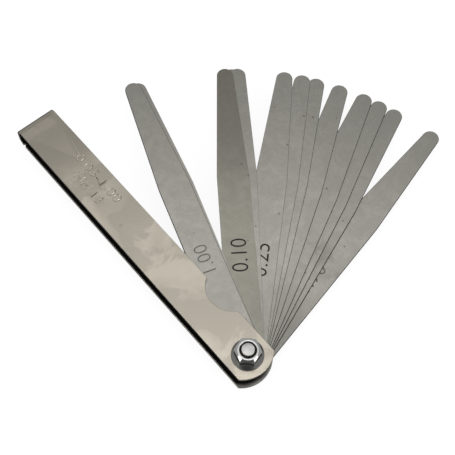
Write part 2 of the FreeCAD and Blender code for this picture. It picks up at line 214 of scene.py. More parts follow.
def require_closed(obj):
    """Stop if any edge of the mesh isn't shared by exactly two faces."""
    mesh = bmesh.new()
    mesh.from_mesh(obj.data)
    open_edges = sum(not edge.is_manifold for edge in mesh.edges)
    mesh.free()
    if open_edges:
        raise RuntimeError("%s has %d open edges" % (obj.name, open_edges))


def close_up(obj):
    """Clean a mesh up and make sure that it is closed."""
    clean_up(obj)
    require_closed(obj)


def soften(obj, width, smooth_angle, bevel_angle, segments=3):
    """Break the sharp edges with a narrow bevel and shade the rest smoothly."""
    apply_modifier(
        obj,
        "BEVEL",
        {"width": width, "segments": segments, "limit_method": "ANGLE", "angle_limit": bevel_angle,
         "use_clamp_overlap": False},
    )
    smooth(obj, smooth_angle)


def smooth(obj, angle):
    """Smooth shading up to an angle, with flat faces kept flat beside their bevels."""
    make_active(obj)
    bpy.ops.object.shade_smooth_by_angle(angle=angle)
    apply_modifier(obj, "WEIGHTED_NORMAL", {"keep_sharp": True, "weight": 80})


# ------------------------------------------------------------------ node helpers
def add_node(tree, kind, settings=None, inputs=None):
    """Add a node with its own settings, and give its inputs values or links."""
    node = tree.nodes.new(kind)
    for key, value in (settings or {}).items():
        setattr(node, key, value)
    for key, value in (inputs or {}).items():
        if isinstance(value, bpy.types.NodeSocket):
            tree.links.new(value, node.inputs[key])
        else:
            node.inputs[key].default_value = value
    return node


def maths(tree, operation, *values, clamp=True):
    """A maths node's output, clamped unless told otherwise."""
    settings = {"operation": operation, "use_clamp": clamp}
    return add_node(tree, "ShaderNodeMath", settings, dict(enumerate(values))).outputs[0]


def vector_maths(tree, operation, *values):
    """A vector maths node's outputs."""
    inputs = dict(enumerate(values))
    return add_node(tree, "ShaderNodeVectorMath", {"operation": operation}, inputs).outputs


def split(tree, vector):
    """The three parts of a vector."""
    return add_node(tree, "ShaderNodeSeparateXYZ", None, {0: vector}).outputs


def remap(tree, value, low, high, new_low=0.0, new_high=1.0):
    """Map a range of a value smoothly to another range."""
    inputs = {"Value": value, "From Min": low, "From Max": high, "To Min": new_low, "To Max": new_high}
    return add_node(tree, "ShaderNodeMapRange", {"interpolation_type": "SMOOTHSTEP"}, inputs).outputs[0]


def mix_colours(tree, factor, first, second):
    """Mix two colours by a factor."""
    inputs = {0: factor, 6: first, 7: second}
    return add_node(tree, "ShaderNodeMix", {"data_type": "RGBA"}, inputs).outputs[2]


def tint(tree, mask, strength, colour, over):
    """Lay a colour over another where a mask says so, at part strength."""
    return mix_colours(tree, maths(tree, "MULTIPLY", mask, strength), colour, over)


def new_group(name, values, result):
    """A shader node group with the sockets inside it; a value of None makes a vector socket."""
    group = bpy.data.node_groups.new(name, "ShaderNodeTree")
    for label, value in values.items():
        kind = "NodeSocketVector" if value is None else "NodeSocketFloat"
        socket = group.interface.new_socket(name=label, in_out="INPUT", socket_type=kind)
        if value is not None:
            socket.default_value = value
    group.interface.new_socket(name=result, in_out="OUTPUT", socket_type="NodeSocketFloat")
    return group, group.nodes.new("NodeGroupInput").outputs, group.nodes.new("NodeGroupOutput").inputs


def brushed_lines_group():
    """Fine lines left by the grinding belt, drawn out along local Y."""
    group, enter, leave = new_group(
        "brushed_lines", {"Vector": None, "Density": 1500.0, "Stretch": 0.04}, "Lines"
    )
    density = enter["Density"]
    along = maths(group, "MULTIPLY", density, enter["Stretch"], clamp=False)
    ratio = add_node(group, "ShaderNodeCombineXYZ", None, {"X": density, "Y": along, "Z": density})
    stretched = vector_maths(group, "MULTIPLY", enter["Vector"], ratio.outputs[0])["Vector"]
    noise = add_node(
        group, "ShaderNodeTexNoise", None, {"Vector": stretched, "Scale": 1.0, "Detail": 1.0}
    )
    group.links.new(noise.outputs[0], leave["Lines"])
    return group


def cloudy_patches_group():
    """Soft blotches from handling and from uneven polish."""
    group, enter, leave = new_group(
        "cloudy_patches", {"Vector": None, "Density": 90.0, "Warp": 0.8, "Softness": 0.18}, "Patches"
    )
    inputs = {"Vector": enter["Vector"], "Scale": enter["Density"], "Distortion": enter["Warp"]}
    noise = add_node(group, "ShaderNodeTexNoise", None, {**inputs, "Detail": 4.0, "Roughness": 0.55})
    low = maths(group, "SUBTRACT", 0.5, enter["Softness"], clamp=False)
    high = maths(group, "ADD", 0.5, enter["Softness"], clamp=False)
    group.links.new(remap(group, noise.outputs[0], low, high), leave["Patches"])
    return group


def specks_group():
    """Scattered dark pinpoints: the start of rust and dried oil."""
    group, enter, leave = new_group("specks", {"Vector": None, "Density": 260.0, "Share": 0.05}, "Specks")
    inputs = {"Vector": enter["Vector"], "Scale": enter["Density"]}
    cells = add_node(group, "ShaderNodeTexVoronoi", None, inputs)
    dots = remap(group, cells.outputs["Distance"], 0.12, 0.30, 1.0, 0.0)
    lottery = add_node(group, "ShaderNodeSeparateColor", None, {0: cells.outputs["Color"]})
    chosen = maths(group, "LESS_THAN", lottery.outputs[0], enter["Share"])
    group.links.new(maths(group, "MULTIPLY", dots, chosen), leave["Specks"])
    return group


def upright_faces_group():
    """One on faces that stand upright, such as a sheet's cut edges, and zero on level ones."""
    group, _, leave = new_group("upright_faces", {}, "Upright")
    coordinates = add_node(group, "ShaderNodeTexCoord")
    level = maths(group, "ABSOLUTE", split(group, coordinates.outputs["Normal"])["Z"], clamp=False)
    group.links.new(remap(group, level, 0.75, 0.98, 1.0, 0.0), leave["Upright"])
    return group


GROUP_MAKERS = {
    "brushed_lines": brushed_lines_group,
    "cloudy_patches": cloudy_patches_group,
    "specks": specks_group,
    "upright_faces": upright_faces_group,
}


def effect(tree, name, vector=None, **values):
    """Place one of the shared effects in a material; each group is built once."""
    group = bpy.data.node_groups.get(name) or GROUP_MAKERS[name]()
    if vector is not None:
        values["Vector"] = vector
    return add_node(tree, "ShaderNodeGroup", {"node_tree": group}, values).outputs[0]


def new_material(name, metallic):
    """A material with a Principled shader; returns it with its tree and shader."""
    material = bpy.data.materials.new(name)
    material.use_nodes = True
    tree = material.node_tree
    shader = next(node for node in tree.nodes if node.type == "BSDF_PRINCIPLED")
    shader.inputs["Metallic"].default_value = metallic
    return material, tree, shader


def object_vector(tree, turn=0.0, shift=(0.0, 0.0, 0.0)):
    """Object coordinates, turned about the pivot axis and shifted."""
    coordinates = add_node(tree, "ShaderNodeTexCoord").outputs["Object"]
    inputs = {"Vector": coordinates, "Location": shift, "Rotation": (0.0, 0.0, turn)}
    return add_node(tree, "ShaderNodeMapping", {"vector_type": "POINT"}, inputs).outputs[0]


def connect_finish(tree, shader, colour, patches, roughness, spread):
    """Give the shader its colour, and a roughness that rises with the patches."""
    tree.links.new(colour, shader.inputs["Base Color"])
    varied = remap(tree, patches, 0.0, 1.0, roughness, roughness + spread)
    tree.links.new(varied, shader.inputs["Roughness"])


def connect_bump(tree, shader, height, distance):
    """Let a height value ripple the surface."""
    bump = add_node(tree, "ShaderNodeBump", None, {"Strength": 1.0, "Distance": distance, "Height": height})
    tree.links.new(bump.outputs[0], shader.inputs["Normal"])


# ------------------------------------------------------------------ materials
DULL_FADE = 8 * MM  # length over which the holder's duller stretch comes in
CLEAR_START, CLEAR_END = 10 * MM, 4 * MM  # before the fold, where most of it goes again
DULL_WANDER = 3 * MM  # how far the patches push its ends about
LIT_RIM_BESIDE, LIT_RIM_AT_END = 0.4, 1.6  # shares of the painted lighter rim's reach along the edges and at the end
END_FADE = 6 * MM  # length over which the painted lighter rim at the end fades out
PLATE_RELIEF = 0.002 * MM  # height of the brushed lines on the holder
BLADE_RELIEF = 0.001 * MM  # and on the blades

# Distances from the pivot over which these marks come or go along a blade: painted shade by the pivot,
# grease, and the stain.
PIVOT_SHADE_GOES = (12 * MM, 36 * MM)
GREASE_COMES = (32 * MM, 38 * MM)
GREASE_GOES = (41 * MM, 47 * MM)
STAIN_COMES = (54 * MM, 68 * MM)
GREASY_TURN = math.radians(60)  # blades turned farther than this are pushed by greasy fingers


def rgba(colour, factor=1.0):
    """A colour with its alpha, made lighter or darker."""
    return tuple(channel * factor for channel in colour) + (1.0,)


def nickel_plate_material(settings):
    """Satin nickel plate with smudges and a duller stretch near the fold."""
    material, tree, shader = new_material("nickel_plate", 1.0)
    plate = settings.plate_colour
    vector = object_vector(tree)
    patches = effect(tree, "cloudy_patches", vector, Density=80.0, Warp=0.4)
    tide_marks = effect(tree, "cloudy_patches", vector, Density=90.0, Warp=0.5, Softness=0.04)
    streaks = effect(tree, "brushed_lines", vector, Density=900.0, Stretch=0.06)
    stains = effect(tree, "specks", vector, Density=420.0, Share=0.03)
    along = maths(tree, "MULTIPLY_ADD", patches, DULL_WANDER, split(tree, vector)["Y"], clamp=False)
    fold_y = HOLDER_HIGH.y
    dull_start = fold_y - settings.dull_reach
    clouding = remap(tree, along, dull_start, dull_start + DULL_FADE)
    clearing = remap(tree, along, fold_y - CLEAR_START, fold_y - CLEAR_END, 1.0, 0.35)
    dulling = maths(tree, "MULTIPLY", clouding, clearing)
    colour = mix_colours(tree, patches, rgba(plate, 1.04), rgba(plate, 0.88))
    colour = tint(tree, tide_marks, 0.85, colour, rgba(plate, 0.80))
    colour = mix_colours(tree, dulling, colour, rgba(plate, settings.dull_depth))
    colour = tint(tree, stains, 0.35, colour, rgba(settings.stain_colour))
    connect_finish(tree, shader, colour, patches, settings.plate_roughness, 0.03)
    connect_bump(tree, shader, streaks, PLATE_RELIEF)
    return material


def patchy_material(name, metallic, density, warp, colours, roughness, spread):
    """Two colours and a roughness that follow one set of patches."""
    material, tree, shader = new_material(name, metallic)
    patches = effect(tree, "cloudy_patches", object_vector(tree), Density=density, Warp=warp)
    colour = mix_colours(tree, patches, *colours)
    connect_finish(tree, shader, colour, patches, roughness, spread)
    return material


def stamped_material(settings):
    """The struck floor of the lettering: the same plate, rougher, and brighter as a painted highlight for
    the lit letter walls.
    """
    # Painted highlight: the struck floor is 1.2 times as bright as the plate.
    colours = rgba(settings.plate_colour, 1.2), rgba(settings.plate_colour)
    return patchy_material("stamped_nickel", 1.0, 900.0, 0.5, colours, 0.25, 0.2)


def dark_steel_material(name, colour, roughness):
    """Plain steel under a thin film of oil, for cut edges; near black, it is the painted shade in the nut's
    countersink.
    """
    return patchy_material(name, 1.0, 220.0, 0.8, (rgba(colour), rgba(colour, 0.6)), roughness, 0.15)


def etched_material(name, colour):
    """Etched and blackened figures, matt and a little uneven."""
    return patchy_material(name, 0.0, 1400.0, 0.3, (rgba(colour), rgba(colour, 1.6)), 0.45, 0.25)


def painted_shade_inside_material(settings):
    """The holder's inside: painted shade, near black, for the shade between the plates, and lighter towards
    the rims as painted light.
    """
    material, tree, shader = new_material("oily_inside", 1.0)
    vector = object_vector(tree)
    patches = effect(tree, "cloudy_patches", vector, Density=260.0)
    parts = split(tree, vector)
    across = maths(tree, "ABSOLUTE", parts["X"], clamp=False)
    rim_x = HOLDER_HIGH.x
    # Painted light: lighter along the long rims and round the end, where the painted shade inside thins out.
    beside = remap(tree, across, rim_x - LIT_RIM_BESIDE * settings.lit_rim_reach, rim_x)
    radius = settings.end_radius
    end = (0.0, HOLDER_LOW.y + radius, HOLDER_LOW.z + settings.thickness)
    from_end = vector_maths(tree, "DISTANCE", vector, end)["Value"]
    at_end = remap(tree, from_end, radius - LIT_RIM_AT_END * settings.lit_rim_reach, radius)
    before_end = remap(tree, parts["Y"], 0.0, END_FADE, 1.0, 0.0)
    lit_rim = maths(tree, "MAXIMUM", beside, maths(tree, "MULTIPLY", at_end, before_end))
    lit_rim = maths(tree, "MULTIPLY", lit_rim, remap(tree, patches, 0.0, 1.0, 1.0, 0.7))
    # Painted shade: the inside colour, near black, for the shade between the plates, turning to the edge
    # colour at the rims.
    colour = mix_colours(tree, lit_rim, rgba(settings.inside_shade_colour), rgba(settings.edge_colour))
    tree.links.new(colour, shader.inputs["Base Color"])
    shader.inputs["Roughness"].default_value = 0.55
    return material


def blade_material(name, settings, stained):
    """Satin ground spring steel whose grain follows the blade."""
    material, tree, shader = new_material("spring_steel_" + name, 1.0)
    turn = BLADE_TURNS[name]
    vector = object_vector(tree, turn, (turn * 0.3, turn * 0.7, turn))
    lines = effect(tree, "brushed_lines", vector, Density=650.0, Stretch=0.04)
    patches = effect(tree, "cloudy_patches", vector, Density=130.0, Warp=1.0)
    blots = effect(tree, "cloudy_patches", vector, Density=260.0, Warp=1.5, Softness=0.05)
    dots = effect(tree, "specks", vector, Density=520.0, Share=0.03)
    upright = effect(tree, "upright_faces")
    base = settings.stained_colour if stained else settings.steel_colour
    dirt_and_shade = rgba(settings.dirt_and_shade_colour)
    tone = 1.0 + 0.05 * math.sin(9 * turn)
    colour = mix_colours(tree, patches, rgba(base, 1.03 * tone), rgba(base, 0.92 * tone))
    colour = tint(tree, lines, 0.35, colour, rgba(base, 1.15))
    colour = tint(tree, blots, 0.3, colour, rgba(base, 0.84))
    colour = tint(tree, dots, 0.5, colour, rgba(settings.rust_colour))
    # Painted shade by the pivot: darker near the pivot and most on the blades turned farthest, where the
    # neighbouring blades and the nut shade them.
    reach = vector_maths(tree, "LENGTH", object_vector(tree))["Value"]
    most_pivot_shade = settings.pivot_shade_share * turn / max(BLADE_TURNS.values())
    colour = mix_colours(tree, remap(tree, reach, *PIVOT_SHADE_GOES, most_pivot_shade, 0.0), colour, dirt_and_shade)
    if turn > GREASY_TURN:
        coming = remap(tree, reach, *GREASE_COMES)
        going = remap(tree, reach, *GREASE_GOES, settings.grease_share, 0.0)
        greasy = maths(tree, "MULTIPLY", coming, going)
        colour = tint(tree, greasy, remap(tree, patches, 0.2, 0.8, 0.4, 1.0), colour, dirt_and_shade)
    if stained:
        dulling = remap(tree, reach, *STAIN_COMES, 0.0, settings.stain_share)
        colour = mix_colours(tree, dulling, colour, dirt_and_shade)
    # Painted shade: the upright rims go near black, for the shadow gaps between overlapping blades.
    colour = mix_colours(tree, upright, colour, rgba(settings.edge_colour))
    connect_finish(tree, shader, colour, patches, settings.steel_roughness, 0.03)
    connect_bump(tree, shader, lines, BLADE_RELIEF)
    return material


def bright_plate_material(name, colour, roughness):
    """Bright plating of the nut and the screw, with hazy patches and dark specks."""
    material, tree, shader = new_material(name, 1.0)
    vector = object_vector(tree)
    patches = effect(tree, "cloudy_patches", vector, Density=420.0, Warp=0.6)
    dots = effect(tree, "specks", vector, Density=1500.0, Share=0.08)
    mixed = mix_colours(tree, patches, rgba(colour), rgba(colour, 0.85))
    mixed = tint(tree, dots, 0.4, mixed, rgba(colour, 0.35))
    connect_finish(tree, shader, mixed, patches, roughness, 0.08)
    return material


# ------------------------------------------------------------------ settings
def length_property(label, about, millimetres):
    """A length setting given in millimetres and kept in metres."""
    return FloatProperty(name=label, description=about, default=millimetres * MM, unit="LENGTH", precision=5)


def angle_property(label, about, degrees):
    """An angle setting given in degrees and kept in radians."""
    return FloatProperty(name=label, description=about, default=math.radians(degrees), subtype="ANGLE")


def colour_property(label, about, colour):
    """A colour setting in linear values."""
    return FloatVectorProperty(
        name=label, description=about, default=colour, subtype="COLOR", size=3, min=0.0, max=1.0
    )


def share_property(label, about, value):
    """A setting between zero and one."""
    return FloatProperty(name=label, description=about, default=value, min=0.0, max=1.0, subtype="FACTOR")


class HolderSettings(bpy.types.PropertyGroup):
    """Sizes and finish of the folded holder."""

    thickness: length_property("Plate thickness", "Thickness of the folded strip", 0.9)
    bend_radius: length_property("Bend radius", "Outer radius of the fold's two bends", 3.0)
    bend_steps: IntProperty(name="Bend steps", description="Facets of one quarter bend", default=14)
    end_radius: length_property("End radius", "Radius of the rounded end of the plates", 9.3)
    corner_radius: length_property("Corner radius", "Rounding between that end and the long edges", 0.5)
    notch_radius: length_property("Notch radius", "Radius of the thumb notch", 7.75)
    notch_across: length_property("Notch across", "Notch centre, across the holder", 10.3)
    notch_along: length_property("Notch along", "Notch centre, along the holder", 18.6)
    notch_blend: length_property("Notch blend", "Rounding at the pivot side of the notch", 1.6)
    relief_along: length_property("Relief along", "Centre of the small nick by the fold", 101.3)
    relief_size: length_property("Relief size", "Diameter of that nick", 1.0)
    bore: length_property("Pivot hole", "Diameter of the pivot hole", 4.1)
    edge_break: length_property("Edge break", "Width of the rounded rims", 0.13)
    # How far in from the rims the painted lighter rim reaches inside the painted shade.
    lit_rim_reach: length_property("Wiped reach", "How far in from the rims the inside is clean", 0.9)
    dull_reach: length_property("Dull reach", "How far the duller stretch runs from the fold", 24.0)
    dull_depth: share_property("Dull depth", "Brightness of the duller stretch", 0.74)
    plate_colour: colour_property("Plate colour", "Colour of the nickel plate", (0.735, 0.676, 0.57))
    stain_colour: colour_property("Stain colour", "Colour of the small stains", (0.33, 0.30, 0.22))
    edge_colour: colour_property("Edge colour", "Colour of the sheared edges", (0.80, 0.78, 0.73))
    # The inside colour is painted shade: near black, for the shade between the plates.
    inside_shade_colour: colour_property("Inside colour", "Colour of the oily inside", (0.02, 0.019, 0.017))
    plate_roughness: share_property("Plate roughness", "Roughness of the nickel plate", 0.24)


class LetteringSettings(bpy.types.PropertyGroup):
    """The struck lettering on the upper plate, which gives the gauge's range."""

    first_line: StringProperty(name="First line", description="Range of the blades", default="0.05-1.00")
    second_line: StringProperty(name="Second line", description="Unit and number of blades", default="MM 13")
    first_across: length_property("First line across", "Middle of the first line, across", 2.6)
    second_across: length_property("Second line across", "Middle of the second line, across", -1.9)
    first_start: length_property("First line start", "Start of the first line, along", 82.9)
    second_start: length_property("Second line start", "Start of the second line, along", 77.8)
    first_length: length_property("First line length", "Length of the first line", 21.0)
    second_length: length_property("Second line length", "Length of the second line", 12.4)
    height: length_property("Letter height", "Height of the letters", 2.9)
    depth: length_property("Letter depth", "How deep the letters are struck", 0.035)


class BladeSettings(bpy.types.PropertyGroup):
    """Finish of the blades and of their etched sizes."""

    steel_colour: colour_property("Steel colour", "Colour of the ground steel", (0.56, 0.545, 0.49))
    stained_colour: colour_property("Stained colour", "Colour of the stained blade", (0.47, 0.45, 0.385))
    rim_round: length_property("Rim rounding", "Width of the ground rims", 0.2)
    rim_share: share_property("Rim share", "Most of the thickness that a ground rim takes", 0.45)
    # Painted shade: the most darkening at the pivot, for the shade of the neighbouring blades and the nut.
    pivot_shade_share: share_property("Grime share", "Most grime that a blade has at the pivot", 0.55)
    grease_share: share_property("Grease share", "Grease where fingers push the lower blades", 0.3)
    stain_share: share_property("Stain share", "Stain on the stained blade's outer half", 0.3)
    # This colour serves the painted shade by the pivot, the grease and the stain.
    dirt_and_shade_colour: colour_property("Grime colour", "Colour of the grime by the pivot", (0.16, 0.155, 0.14))
    rust_colour: colour_property("Rust colour", "Colour of the pinpoint specks", (0.16, 0.10, 0.05))
    # The blades' edge colour is painted shade: near black, for the shadow gaps between the blades.
    edge_colour: colour_property("Edge colour", "Colour of the blades' cut edges", (0.022, 0.021, 0.019))
    steel_roughness: share_property("Steel roughness", "Roughness of the ground steel", 0.25)
    figure_reach: length_property("Figure reach", "Middle of the etched size, from the pivot", 31.8)
    figure_length: length_property("Figure length", "Length of the etched size", 10.8)
    figure_height: length_property("Figure height", "Height of the figures", 4.8)
    figure_thickness: length_property("Figure thickness", "Thickness of the etched film", 0.006)
    figure_clearance: length_property("Figure clearance", "Film's underside above the blade", 0.002)
    ink_colour: colour_property("Ink colour", "Colour of the etched sizes", (0.012, 0.011, 0.008))
    faint_colour: colour_property("Faint colour", "Colour of the worn sizes", (0.20, 0.195, 0.18))


class ScrewSettings(bpy.types.PropertyGroup):
    """Sizes and finish of the pivot screw."""

    head_diameter: length_property("Head diameter", "Diameter of the head", 8.0)
    head_height: length_property("Head height", "Height of the head", 1.2)
    head_round: length_property("Head rounding", "Rounding of the head's lower rim", 0.5)
    shank_diameter: length_property("Shank diameter", "Outer diameter of the shank and thread", 4.0)
    root_diameter: length_property("Root diameter", "Diameter at the thread's root", 3.3)
    pitch: length_property("Pitch", "Pitch of the thread", 0.7)
    end_diameter: length_property("End diameter", "Diameter of the rounded end", 3.6)
    lead: length_property("Lead-in", "Height of the lead-in cone", 0.45)
    dome: length_property("Dome", "Rise of the rounded end", 0.12)
    plating_colour: colour_property("Plating colour", "Colour of the bright plating", (0.80, 0.79, 0.76))
    plating_roughness: share_property("Plating roughness", "Roughness of the bright plating", 0.2)


class NutSettings(bpy.types.PropertyGroup):
    """Sizes and finish of the flange nut."""

    flats: length_property("Across flats", "Width across flats", 7.0)
    turn: angle_property("Turn", "Turn of the hexagon's first corner about the pivot", 15.0)
    rim: length_property("Flange rim", "Height of the flange's straight rim", 0.45)
    cone_height: length_property("Flange height", "Height where the cone meets the flats", 1.35)
    face_diameter: length_property("Face diameter", "Outer diameter of the flat ring on top", 6.0)
    entry_diameter: length_property("Entry diameter", "Diameter of the countersink", 5.0)
    bore: length_property("Bore", "Diameter of the bore", 4.1)
    edge_break: length_property("Edge break", "Width of the rounded edges", 0.12)
    plating_colour: colour_property("Plating colour", "Colour of the bright plating", (0.90, 0.90, 0.89))
    # The dull flats colour is painted shade: the flats and flange are a shaded copy of the nut's plating,
    # and the top is the lit copy.
    shaded_flats_colour: colour_property("Handled colour", "Colour of the dull flats", (0.40, 0.40, 0.39))
    bright_depth: length_property("Bright depth", "How far down the top stays bright", 0.9)
    # The bore colour is painted shade: near black, for the shade in the countersink and the bore.
    countersink_shade_colour: colour_property("Thread colour", "Colour of the bare bore", (0.10, 0.10, 0.095))
    plating_roughness: share_property("Plating roughness", "Roughness of the bright plating", 0.06)
    shaded_flats_roughness: share_property("Handled roughness", "Roughness of the dull flats", 0.09)


class StageSettings(bpy.types.PropertyGroup):
    """Camera, floor and light."""

    target: FloatVectorProperty(
        name="Target",
        description="Point that the camera looks at",
        default=(0.02445, 0.03687, 0.0012),
        size=3,
        subtype="TRANSLATION",
    )
    azimuth: angle_property("Azimuth", "Camera's direction from the target, from +X", -132.54)
    elevation: angle_property("Elevation", "Camera's height over the floor as an angle", 63.285)
    roll: angle_property("Roll", "Camera's turn about its own axis", 2.09)
    distance: length_property("Distance", "Camera to target", 276.14)
    lens: FloatProperty(name="Lens", description="Focal length in millimetres", default=70.52)
    sensor: FloatProperty(name="Sensor", description="Sensor width in millimetres", default=36.0)
    floor_size: length_property("Floor size", "Side of the square floor", 4000.0)
    floor_grey: share_property("Floor grey", "Brightness of the floor as the metal mirrors it", 0.28)
    floor_glow: share_property("Floor glow", "Light of the floor as seen directly", 0.9)
    shade_depth: share_property("Shade depth", "How dark the room is behind the camera", 0.75)


# ------------------------------------------------------------------ operators
class FEELER_OT_holder(bpy.types.Operator):
    """Fold the holder from one strip, cut its outline and strike the lettering"""

    bl_idname = "feeler.holder"
    bl_label = "Folded holder"

    def execute(self, context):
        settings = context.scene.feeler_holder
        holder = fold_strip(settings)
        cut_outline(holder, settings)
        soften(holder, settings.edge_break, HOLDER_CREASE, HOLDER_CREASE)
        keep_width(holder)
        for line in lettering_tools(context.scene.feeler_lettering):
            carve(holder, line)
        close_up(holder)
        smooth(holder, HOLDER_CREASE)
        finish_holder(holder, settings, context.scene.feeler_lettering)
        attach(holder, HOLDER_BODY)
        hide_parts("holder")
        return {"FINISHED"}


def fold_strip(settings):
    """Lower plate, two quarter bends with a short wall between, and the upper plate."""
    thickness = settings.thickness
    bend = settings.bend_radius
    fold_y = HOLDER_HIGH.y - bend
    spare = 3 * MM  # stock past the end, cut off with the outline
    stock_y = HOLDER_LOW.y - spare
    holder = add_block(
        "holder_shell",
        (HOLDER_LOW.x, stock_y, HOLDER_LOW.z),
        (HOLDER_HIGH.x, fold_y, HOLDER_LOW.z + thickness),
    )
    with editing(holder, "FACE"):
        pick_faces(holder, lambda centre, normal: normal.y > 0.9)
        spin_up(settings.bend_steps, (0.0, fold_y, HOLDER_LOW.z + bend))
        extrude_selection((0.0, 0.0, HOLDER_HIGH.z - HOLDER_LOW.z - 2 * bend))
        spin_up(settings.bend_steps, (0.0, fold_y, HOLDER_HIGH.z - bend))
        extrude_selection((0.0, stock_y - fold_y, 0.0))
    close_up(holder)
    return holder


def keep_width(holder):
    """Press back the rim points that the bevel pushed past the strip's edges by the nick."""
    for vert in holder.data.vertices:
        vert.co.x = min(max(vert.co.x, HOLDER_LOW.x), HOLDER_HIGH.x)


def spin_up(steps, centre):
    """Sweep the selected end face through a quarter turn about X."""
    bpy.ops.mesh.spin(steps=steps, angle=-math.pi / 2, center=centre, axis=(1.0, 0.0, 0.0))


def cut_outline(holder, settings):
    """Rounded end, thumb notch, pivot hole and relief nick."""
    low_z = HOLDER_LOW.z - MM
    high_z = HOLDER_HIGH.z + MM

    end_y = settings.end_radius + HOLDER_LOW.y
    outline = add_drum("end_tool", settings.end_radius, low_z, high_z, (0.0, end_y), sides=160)
    with editing(outline, "FACE"):
        bpy.ops.mesh.select_all(action="SELECT")
        bpy.ops.mesh.bisect(
            plane_co=(0.0, end_y, 0.0), plane_no=(0.0, 1.0, 0.0), use_fill=True, clear_outer=True
        )
        pick_faces(outline, lambda centre, normal: normal.y > 0.99)
        extrude_selection((0.0, HOLDER_HIGH.y, 0.0))
    clean_up(outline)
    carve(holder, outline, "INTERSECT")

    notch_at = (settings.notch_across, settings.notch_along)
    carve(holder, add_drum("notch_tool", settings.notch_radius, low_z, high_z, notch_at, sides=128))
    carve(holder, notch_blend_tool(settings, (low_z, high_z)))
    for side in (1, -1):
        carve(holder, end_corner_tool(settings, side, (low_z, high_z)))
    carve(holder, add_drum("bore_tool", settings.bore / 2, low_z, high_z, sides=64))
    relief_at = (HOLDER_LOW.x, settings.relief_along)
    relief_top = HOLDER_LOW.z + settings.bend_radius
    relief = settings.relief_size / 2
    carve(holder, add_drum("relief_tool", relief, low_z, relief_top, relief_at, sides=32))
    clean_up(holder, SLIVER)


def notch_blend_tool(settings, heights):
    """The sliver to take off where the notch meets the long edge on the pivot side."""
    blend = settings.notch_blend
    notch = Vector((settings.notch_across, settings.notch_along))
    across = HOLDER_HIGH.x - blend
    reach = settings.notch_radius + blend
    centre = Vector((across, notch.y - math.sqrt(reach**2 - (notch.x - across) ** 2)))
    on_edge = Vector((HOLDER_HIGH.x, centre.y))
    on_notch = notch + (centre - notch) * settings.notch_radius / reach
    return rounding_tool(centre, blend, on_edge, on_notch, heights)


def end_corner_tool(settings, side, heights):
    """The sliver to take off where the rounded end meets a long edge; side is 1 or -1."""
    radius = settings.corner_radius
    end = Vector((0.0, settings.end_radius + HOLDER_LOW.y))
    across = HOLDER_HIGH.x - radius
    reach = settings.end_radius - radius
    centre = Vector((side * across, end.y - math.sqrt(reach**2 - across**2)))
    on_edge = Vector((side * HOLDER_HIGH.x, centre.y))
    on_end = end + (centre - end) * settings.end_radius / reach
    return rounding_tool(centre, radius, on_edge, on_end, heights)


def rounding_tool(centre, radius, first_touch, second_touch, heights):
    """A block over the chord between two touching points, less the round that stays."""
    low_z, high_z = heights
    chord = second_touch - first_touch
    middle = (first_touch + second_touch) / 2
    outward = (middle - centre).normalized()
    place = middle + outward * radius / 2
    deselect_all()
    bpy.ops.mesh.primitive_cube_add(
        size=1.0,
        location=(place.x, place.y, (low_z + high_z) / 2),
        rotation=(0.0, 0.0, math.atan2(chord.y, chord.x)),
        scale=(chord.length, radius, high_z - low_z),
    )
    tool = take_primitive("rounding_tool")
    carve(tool, add_drum("round_tool", radius, low_z - MM, high_z + MM, centre))
    return tool


def lettering_tools(settings):
    """Closed solids of the two struck lines, reading from the fold towards the pivot."""
    lines = [
        (settings.first_line, settings.first_across, settings.first_start, settings.first_length),
        (settings.second_line, settings.second_across, settings.second_start, settings.second_length),
    ]
    tools = []
    for number, (words, across, start, length) in enumerate(lines):
        name = "lettering_tool_%d" % number
        place = Matrix.Translation((across, start - length / 2, HOLDER_HIGH.z))
        turned = place @ Matrix.Rotation(math.radians(-90), 4, "Z")
        tools.append(solid_text(name, words, length, settings.height, 2 * settings.depth, turned))
    return tools


def solid_text(name, words, length, height, thickness, place, thinning=0.0):
    """Closed letters of an exact length and height about the origin, then put in place."""
    deselect_all()
    bpy.ops.object.text_add()
    text = bpy.context.active_object
    text.data.body = words
    text.data.size = height
    text.data.offset = -thinning
    text.data.extrude = thickness / 2
    text.data.resolution_u = 6
    text.data.align_x = "CENTER"
    bpy.ops.object.convert(target="MESH")
    solid = bpy.context.active_object
    solid.name = name
    solid.data.name = name
    points = [vert.co for vert in solid.data.vertices]
    low = Vector([min(point[i] for point in points) for i in range(3)])
    high = Vector([max(point[i] for point in points) for i in range(3)])
    middle = (low + high) / 2
    fit = Matrix.Diagonal((length / (high.x - low.x), height / (high.y - low.y), 1.0, 1.0))
    solid.data.transform(place @ fit @ Matrix.Translation(-middle))
    clean_up(solid)
    return solid


def finish_holder(holder, settings, lettering):
    """Plate, struck floor with its painted highlight, sheared edges and the inside in painted shade as four
    finishes.
    """
    plate, stamped, edge, inside = range(4)
    for material in (
        nickel_plate_material(settings),
        stamped_material(settings),
        dark_steel_material("sheared_edge", settings.edge_colour, 0.42),
        painted_shade_inside_material(settings),
    ):
        holder.data.materials.append(material)
    wall = settings.thickness
    near = 0.01 * MM
    bend_y = HOLDER_HIGH.y - settings.bend_radius
    struck_z = HOLDER_HIGH.z - lettering.depth
    for face in holder.data.polygons:
        centre, normal = face.center, face.normal
        struck = struck_z - near < centre.z < struck_z + near
        within = HOLDER_LOW.z + wall - near < centre.z < HOLDER_HIGH.z - wall + near
        behind = centre.y < HOLDER_HIGH.y - wall + near
        if struck and normal.z > 0.9:
            face.material_index = stamped
        # The inside faces get the painted shade.
        elif within and behind and abs(normal.x) < 0.5 and (centre.y > bend_y or abs(normal.z) > 0.9):
            face.material_index = inside
        elif abs(normal.z) < 0.1 and (centre.y < bend_y or abs(normal.x) > 0.9):
            face.material_index = edge
        else:
            face.material_index = plate


